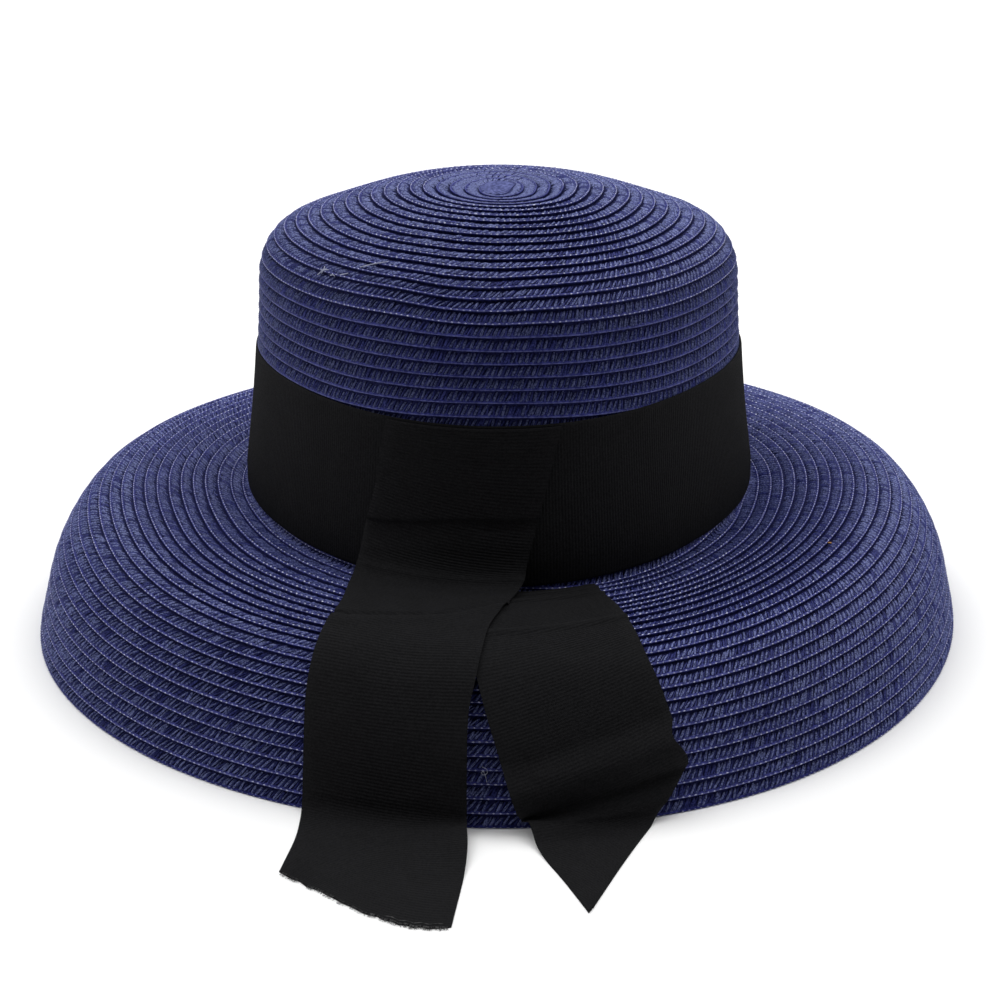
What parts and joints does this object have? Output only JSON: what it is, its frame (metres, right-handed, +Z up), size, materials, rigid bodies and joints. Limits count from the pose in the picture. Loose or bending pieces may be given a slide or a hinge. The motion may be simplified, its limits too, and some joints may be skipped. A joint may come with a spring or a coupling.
{
  "type": "sun hat",
  "caption": "Straw sun hat with a flat-topped crown, a wide rolled-down brim, and a ribbon band whose loose tails hang over the brim at the front.",
  "frame": {"origin": "middle of the whole hat's footprint, ribbon tails included, on the surface that it stands on", "axes": "+Z up through the crown; the ribbon tails point towards -Y, the front; +X is to the right in the picture"},
  "size_m": [0.329, 0.42, 0.1619],
  "materials": {
    "straw": "navy sewn straw braid, semi-matte",
    "ribbon": "black ribbed ribbon, matte"
  },
  "bodies": {
    "root": {"crown": "straw", "brim": "straw", "hat_band": "ribbon", "tail_left": "ribbon", "tail_right": "ribbon"}
  },
  "joints": []
}
